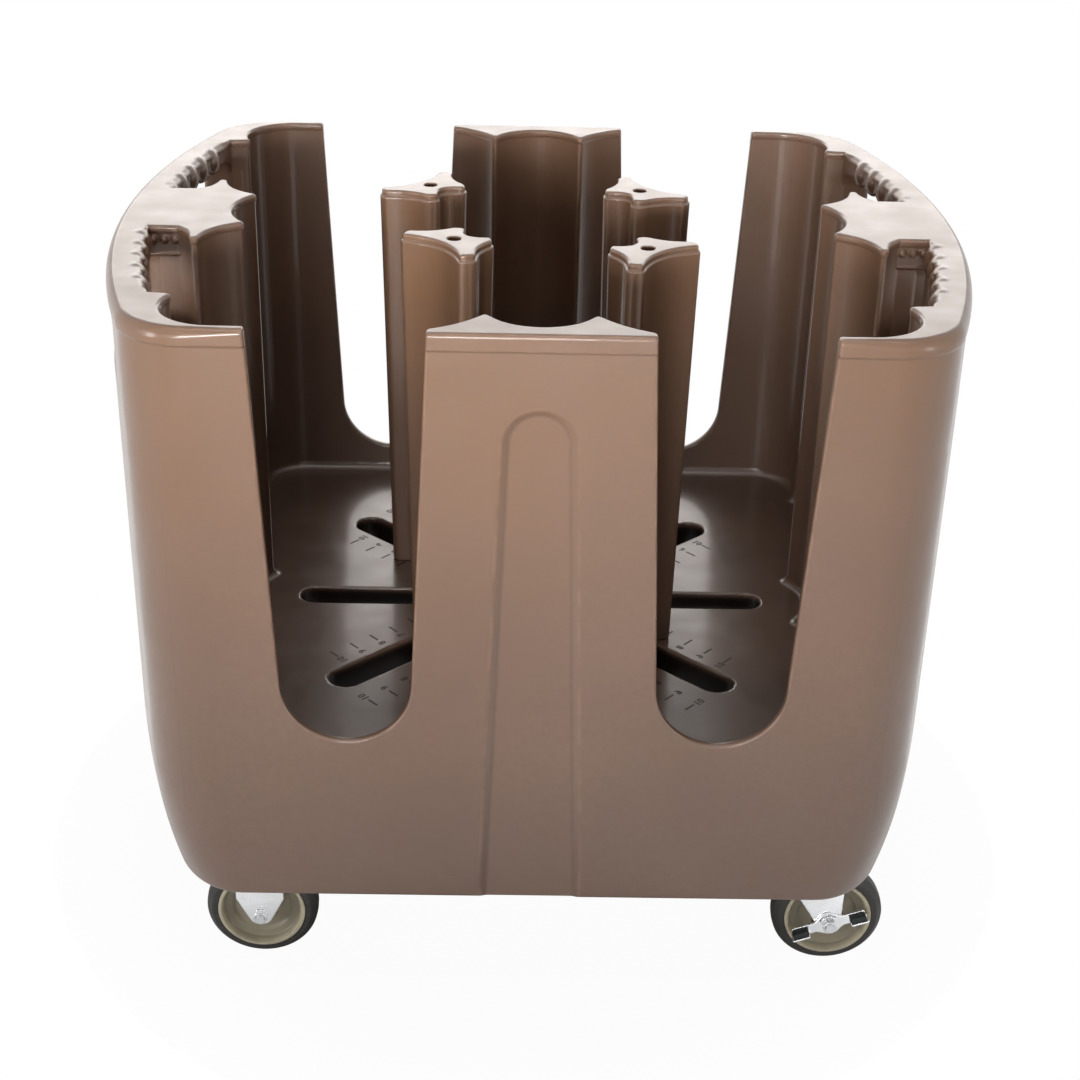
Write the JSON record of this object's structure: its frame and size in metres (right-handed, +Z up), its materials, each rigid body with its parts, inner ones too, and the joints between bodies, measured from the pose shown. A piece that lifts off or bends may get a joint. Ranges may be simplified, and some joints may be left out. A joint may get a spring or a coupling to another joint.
{
  "type": "dish dolly",
  "caption": "Moulded dish dolly with tall access openings, handle bars at both ends, sliding divider posts and braked swivel casters.",
  "frame": {"origin": "on the floor, under the middle of the body", "axes": "+Z up, +X along the long side towards the swivel casters, the front face towards -Y"},
  "size_m": [0.922, 0.766, 0.795],
  "materials": {
    "moulded_plastic": "satin rotomoulded polyethylene, coffee brown",
    "post_plastic": "satin moulded polyethylene, coffee brown",
    "brass_inserts": "turned",
    "zinc_fasteners": "bright zinc plated",
    "steel_plates": "zinc plated pressed steel",
    "bright_zinc": "bright zinc plated pressed steel",
    "sleeve_steel": "ground",
    "ball_steel": "polished",
    "hub_plastic": "khaki moulded hub, cream rim",
    "tyre_rubber": "moulded dark grey rubber",
    "pad_rubber": "moulded",
    "friction_disc": "sintered, dull",
    "black_plastic": "moulded, fine texture"
  },
  "bodies": {
    "dolly": {"body": "moulded_plastic", "caster_inserts": "brass_inserts", "caster_bolts": "zinc_fasteners", "caster_washers": "zinc_fasteners", "rigid_bracket_front": "bright_zinc", "swivel_plate_front": "bright_zinc", "king_bolt_front": "zinc_fasteners", "swivel_balls_front": "ball_steel", "rigid_bracket_rear": "bright_zinc", "swivel_plate_rear": "bright_zinc", "king_bolt_rear": "zinc_fasteners", "swivel_balls_rear": "ball_steel", "axle_bolt_fl": "zinc_fasteners", "axle_nut_fl": "zinc_fasteners", "axle_sleeve_fl": "sleeve_steel", "axle_bolt_rl": "zinc_fasteners", "axle_nut_rl": "zinc_fasteners", "axle_sleeve_rl": "sleeve_steel"},
    "divider_post_fl": {"divider_fl": "post_plastic", "tie_bolt_fl": "zinc_fasteners", "clamp_plate_fl": "steel_plates"},
    "knob_fl": {"clamp_knob_fl": "black_plastic"},
    "divider_post_fr": {"divider_fr": "post_plastic", "tie_bolt_fr": "zinc_fasteners", "clamp_plate_fr": "steel_plates"},
    "knob_fr": {"clamp_knob_fr": "black_plastic"},
    "divider_post_rl": {"divider_rl": "post_plastic", "tie_bolt_rl": "zinc_fasteners", "clamp_plate_rl": "steel_plates"},
    "knob_rl": {"clamp_knob_rl": "black_plastic"},
    "divider_post_rr": {"divider_rr": "post_plastic", "tie_bolt_rr": "zinc_fasteners", "clamp_plate_rr": "steel_plates"},
    "knob_rr": {"clamp_knob_rr": "black_plastic"},
    "wheel_fl": {"hub_fl": "hub_plastic", "tyre_fl": "tyre_rubber"},
    "wheel_rl": {"hub_rl": "hub_plastic", "tyre_rl": "tyre_rubber"},
    "swivel_front": {"swivel_fork_front": "bright_zinc", "axle_bolt_fr": "zinc_fasteners", "axle_nut_fr": "zinc_fasteners", "axle_sleeve_fr": "sleeve_steel"},
    "wheel_fr": {"hub_fr": "hub_plastic", "tyre_fr": "tyre_rubber"},
    "brake_front": {"brake_rocker_front": "bright_zinc", "brake_pads_front": "pad_rubber"},
    "disc_front": {"brake_disc_front": "friction_disc"},
    "swivel_rear": {"swivel_fork_rear": "bright_zinc", "axle_bolt_rr": "zinc_fasteners", "axle_nut_rr": "zinc_fasteners", "axle_sleeve_rr": "sleeve_steel"},
    "wheel_rr": {"hub_rr": "hub_plastic", "tyre_rr": "tyre_rubber"},
    "brake_rear": {"brake_rocker_rear": "bright_zinc", "brake_pads_rear": "pad_rubber"},
    "disc_rear": {"brake_disc_rear": "friction_disc"}
  },
  "joints": [
    {"name": "divider_slide_fl", "type": "slide", "parent": "dolly", "child": "divider_post_fl", "axis": [-0.7345, -0.6786, 0], "range_m": [-0.024, 0.138]},
    {"name": "knob_turn_fl", "type": "hinge", "parent": "divider_post_fl", "child": "knob_fl", "pos_m": [-0.09182, -0.08482, 0.244], "axis": [0, 0, 1], "continuous": true},
    {"name": "divider_slide_fr", "type": "slide", "parent": "dolly", "child": "divider_post_fr", "axis": [0.7345, -0.6786, 0], "range_m": [-0.055, 0.107]},
    {"name": "knob_turn_fr", "type": "hinge", "parent": "divider_post_fr", "child": "knob_fr", "pos_m": [0.11459, -0.10586, 0.244], "axis": [0, 0, 1], "continuous": true},
    {"name": "divider_slide_rl", "type": "slide", "parent": "dolly", "child": "divider_post_rl", "axis": [-0.7345, 0.6786, 0], "range_m": [-0.071, 0.091]},
    {"name": "knob_turn_rl", "type": "hinge", "parent": "divider_post_rl", "child": "knob_rl", "pos_m": [-0.12634, 0.11671, 0.244], "axis": [0, 0, 1], "continuous": true},
    {"name": "divider_slide_rr", "type": "slide", "parent": "dolly", "child": "divider_post_rr", "axis": [0.7345, 0.6786, 0], "range_m": [-0.059, 0.103]},
    {"name": "knob_turn_rr", "type": "hinge", "parent": "divider_post_rr", "child": "knob_rr", "pos_m": [0.11753, 0.10857, 0.244], "axis": [0, 0, 1], "continuous": true},
    {"name": "wheel_roll_fl", "type": "hinge", "parent": "dolly", "child": "wheel_fl", "pos_m": [-0.303, -0.288, 0.0635], "axis": [0, 1, 0], "continuous": true},
    {"name": "wheel_roll_rl", "type": "hinge", "parent": "dolly", "child": "wheel_rl", "pos_m": [-0.303, 0.288, 0.0635], "axis": [0, 1, 0], "continuous": true},
    {"name": "swivel_turn_front", "type": "hinge", "parent": "dolly", "child": "swivel_front", "pos_m": [0.303, -0.288, 0.144], "axis": [0, 0, 1], "continuous": true},
    {"name": "wheel_roll_fr", "type": "hinge", "parent": "swivel_front", "child": "wheel_fr", "pos_m": [0.344, -0.288, 0.0635], "axis": [0, 1, 0], "continuous": true},
    {"name": "brake_press_front", "type": "hinge", "parent": "swivel_front", "child": "brake_front", "pos_m": [0.344, -0.3153, 0.0635], "axis": [0, 1, 0], "range_deg": [0, 28]},
    {"name": "disc_press_front", "type": "slide", "parent": "swivel_front", "child": "disc_front", "axis": [0, 1, 0], "range_m": [0, 0.00055]},
    {"name": "swivel_turn_rear", "type": "hinge", "parent": "dolly", "child": "swivel_rear", "pos_m": [0.303, 0.288, 0.144], "axis": [0, 0, 1], "continuous": true},
    {"name": "wheel_roll_rr", "type": "hinge", "parent": "swivel_rear", "child": "wheel_rr", "pos_m": [0.344, 0.288, 0.0635], "axis": [0, 1, 0], "continuous": true},
    {"name": "brake_press_rear", "type": "hinge", "parent": "swivel_rear", "child": "brake_rear", "pos_m": [0.344, 0.3153, 0.0635], "axis": [0, 1, 0], "range_deg": [0, 28]},
    {"name": "disc_press_rear", "type": "slide", "parent": "swivel_rear", "child": "disc_rear", "axis": [0, -1, 0], "range_m": [0, 0.00055]}
  ],
  "couplings": [
    {"joint": "disc_press_front", "follows": "brake_press_front", "m_per_rad": 0.001},
    {"joint": "disc_press_rear", "follows": "brake_press_rear", "m_per_rad": 0.001}
  ]
}
